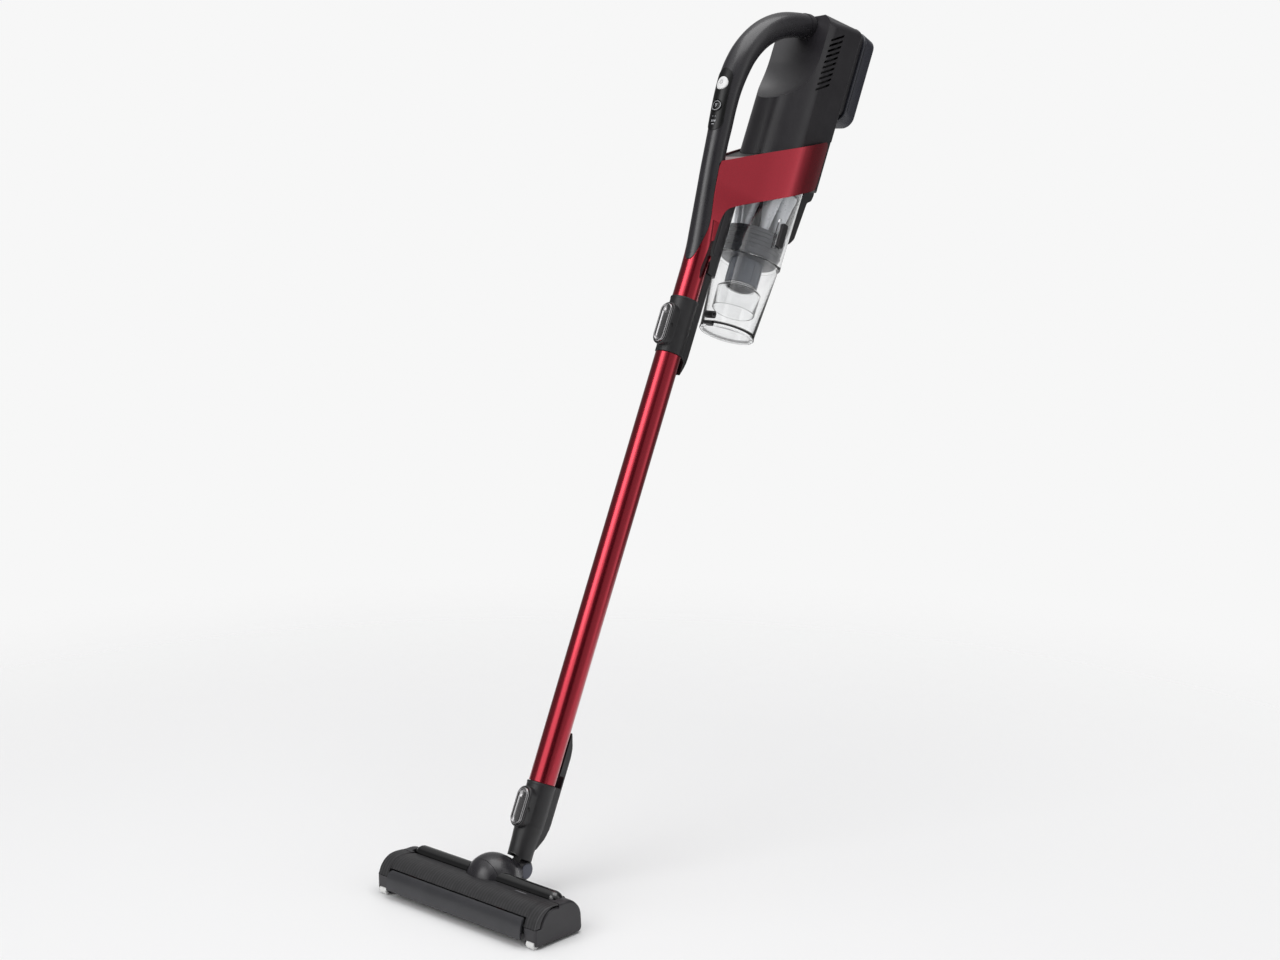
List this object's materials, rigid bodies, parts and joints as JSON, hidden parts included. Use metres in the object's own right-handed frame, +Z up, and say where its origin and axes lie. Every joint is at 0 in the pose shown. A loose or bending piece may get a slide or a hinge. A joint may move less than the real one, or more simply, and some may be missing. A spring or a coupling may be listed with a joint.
{
  "type": "cordless stick vacuum cleaner",
  "caption": "Upright cordless stick vacuum with a loop handle, clear dust cup, slide-off battery, red two-piece wand and a hinged low floor head.",
  "frame": {"origin": "middle of the hand grip, on the handle tube's centre line", "axes": "+Z up, +X across the floor head, the front of the floor head towards -Y and the user's side towards +Y; the stick leans back 24.8 degrees"},
  "size_m": [0.222, 0.6442, 0.8798],
  "materials": {
    "charcoal": "satin moulded",
    "black": "soft matte",
    "gloss_black": "polished",
    "red": "candy metallic, satin clear coat",
    "clear": "clear polycarbonate",
    "silver": "silver grey satin",
    "grey": "satin",
    "white": "satin",
    "chrome": "dark plated",
    "steel": "plain",
    "slate": "satin blue black",
    "rubber": "soft",
    "green": "board lacquer",
    "bristle": "nylon filament",
    "copper": "bare winding",
    "foam": "filter felt"
  },
  "bodies": {
    "hand_unit": {"handle_tube": "charcoal", "control_panel": "gloss_black", "indicator_light": "white", "red_frame": "red", "pipe_plug": "black", "spine": "black", "body_core": "charcoal", "pre_motor_filter": "foam", "motor_housing": "charcoal", "motor_can": "steel", "control_board": "green", "battery_holder": "charcoal"},
    "power_button": {"power_button": "white"},
    "mode_button": {"mode_button": "gloss_black"},
    "motor_fan": {"motor_fan": "copper"},
    "cup_clip": {"cup_clip": "black"},
    "dust_cup": {"cup_sleeve": "clear", "cup_bowl": "clear", "separator_ring": "grey", "cup_skirt": "clear", "cyclone_plate": "silver", "lid_gasket": "rubber", "lid_hinge": "black"},
    "side_latch": {"side_latch": "black"},
    "cup_lid": {"cup_lid": "clear"},
    "battery": {"battery_case": "slate", "battery_cells": "steel"},
    "battery_release": {"battery_release": "black"},
    "wand": {"wand_pipe": "red", "upper_coupler": "black", "upper_coupler_release_pin": "steel", "wand_plug": "black", "lower_fin": "black"},
    "upper_release": {"upper_release": "chrome"},
    "neck": {"neck": "black", "neck_release_pin": "steel"},
    "lower_release": {"lower_release": "chrome"},
    "elbow": {"elbow": "charcoal", "neck_hinge_pin": "steel", "hinge_cap_left": "slate", "hinge_cap_right": "slate"},
    "head": {"dome_cap": "charcoal", "top_cover": "charcoal", "back_bar_left": "gloss_black", "back_bar_right": "gloss_black", "chassis": "charcoal", "sole_plate": "black", "end_cap_left": "charcoal", "end_cap_right": "charcoal", "brush_motor": "steel", "drive_belt": "rubber"},
    "brush": {"brush_core": "grey", "brush_bristles": "bristle", "brush_pulley": "black"},
    "brush_pinion": {"brush_pinion": "black"},
    "front_flap": {"front_flap": "charcoal"},
    "front_roller_left": {"front_roller_left": "white"},
    "front_roller_right": {"front_roller_right": "white"},
    "rear_roller_left": {"rear_roller_left": "rubber"},
    "rear_roller_right": {"rear_roller_right": "rubber"}
  },
  "joints": [
    {"name": "power_button_press", "type": "slide", "parent": "hand_unit", "child": "power_button", "axis": [0, 0.9078, -0.4195], "range_m": [0, 0.0008], "stiffness_N_per_m": 400, "springref_m": -0.001},
    {"name": "mode_button_press", "type": "slide", "parent": "hand_unit", "child": "mode_button", "axis": [0, 0.9078, -0.4195], "range_m": [0, 0.0008], "stiffness_N_per_m": 400, "springref_m": -0.001},
    {"name": "fan_spin", "type": "hinge", "parent": "hand_unit", "child": "motor_fan", "pos_m": [0, 0.07966, -0.07316], "axis": [0, 0.4195, 0.9078], "continuous": true},
    {"name": "cup_clip_tilt", "type": "hinge", "parent": "hand_unit", "child": "cup_clip", "pos_m": [0, 0.08765, -0.15837], "axis": [1, 0, 0], "range_deg": [0, 12], "stiffness_Nm_per_rad": 0.4, "springref_deg": -2.86},
    {"name": "cup_slide", "type": "slide", "parent": "hand_unit", "child": "dust_cup", "axis": [0, -0.4195, -0.9078], "range_m": [0, 0.16]},
    {"name": "side_latch_slide", "type": "slide", "parent": "dust_cup", "child": "side_latch", "axis": [0, -0.4195, -0.9078], "range_m": [0, 0.003]},
    {"name": "cup_lid_swing", "type": "hinge", "parent": "dust_cup", "child": "cup_lid", "pos_m": [0, -0.07122, -0.28766], "axis": [-1, 0, 0], "range_deg": [0, 80]},
    {"name": "battery_slide", "type": "slide", "parent": "hand_unit", "child": "battery", "axis": [0, 0.4195, 0.9078], "range_m": [0, 0.06]},
    {"name": "battery_release_press", "type": "slide", "parent": "battery", "child": "battery_release", "axis": [0, -0.9078, 0.4195], "range_m": [0, 0.0006], "stiffness_N_per_m": 500, "springref_m": -0.001},
    {"name": "wand_slide", "type": "slide", "parent": "hand_unit", "child": "wand", "axis": [0, -0.4195, -0.9078], "range_m": [0, 0.06]},
    {"name": "upper_release_tilt", "type": "hinge", "parent": "wand", "child": "upper_release", "pos_m": [0, -0.14128, -0.28668], "axis": [-1, 0, 0], "range_deg": [0, 5], "stiffness_Nm_per_rad": 0.6, "springref_deg": -1.72},
    {"name": "neck_slide", "type": "slide", "parent": "wand", "child": "neck", "axis": [0, -0.4195, -0.9078], "range_m": [0, 0.045]},
    {"name": "lower_release_tilt", "type": "hinge", "parent": "neck", "child": "lower_release", "pos_m": [0, -0.35588, -0.75209], "axis": [-1, 0, 0], "range_deg": [0, 5], "stiffness_Nm_per_rad": 0.6, "springref_deg": -1.72},
    {"name": "neck_pitch", "type": "hinge", "parent": "neck", "child": "elbow", "pos_m": [0, -0.35986, -0.81594], "axis": [1, 0, 0], "range_deg": [-15, 55]},
    {"name": "head_roll", "type": "hinge", "parent": "elbow", "child": "head", "pos_m": [0, -0.39786, -0.81594], "axis": [0, 1, 0], "range_deg": [-30, 30]},
    {"name": "brush_spin", "type": "hinge", "parent": "head", "child": "brush", "pos_m": [0, -0.43036, -0.82594], "axis": [1, 0, 0], "continuous": true},
    {"name": "pinion_spin", "type": "hinge", "parent": "head", "child": "brush_pinion", "pos_m": [0, -0.40036, -0.82584], "axis": [1, 0, 0], "continuous": true},
    {"name": "flap_swing", "type": "hinge", "parent": "head", "child": "front_flap", "pos_m": [0, -0.44646, -0.81624], "axis": [-1, 0, 0], "range_deg": [0, 35]},
    {"name": "front_roller_left_spin", "type": "hinge", "parent": "head", "child": "front_roller_left", "pos_m": [-0.1033, -0.44646, -0.83894], "axis": [1, 0, 0], "continuous": true},
    {"name": "front_roller_right_spin", "type": "hinge", "parent": "head", "child": "front_roller_right", "pos_m": [0.1033, -0.44646, -0.83894], "axis": [1, 0, 0], "continuous": true},
    {"name": "rear_roller_left_spin", "type": "hinge", "parent": "head", "child": "rear_roller_left", "pos_m": [-0.062, -0.39386, -0.83954], "axis": [1, 0, 0], "continuous": true},
    {"name": "rear_roller_right_spin", "type": "hinge", "parent": "head", "child": "rear_roller_right", "pos_m": [0.062, -0.39386, -0.83954], "axis": [1, 0, 0], "continuous": true}
  ],
  "couplings": [
    {"joint": "pinion_spin", "follows": "brush_spin", "ratio": 1.8182}
  ]
}
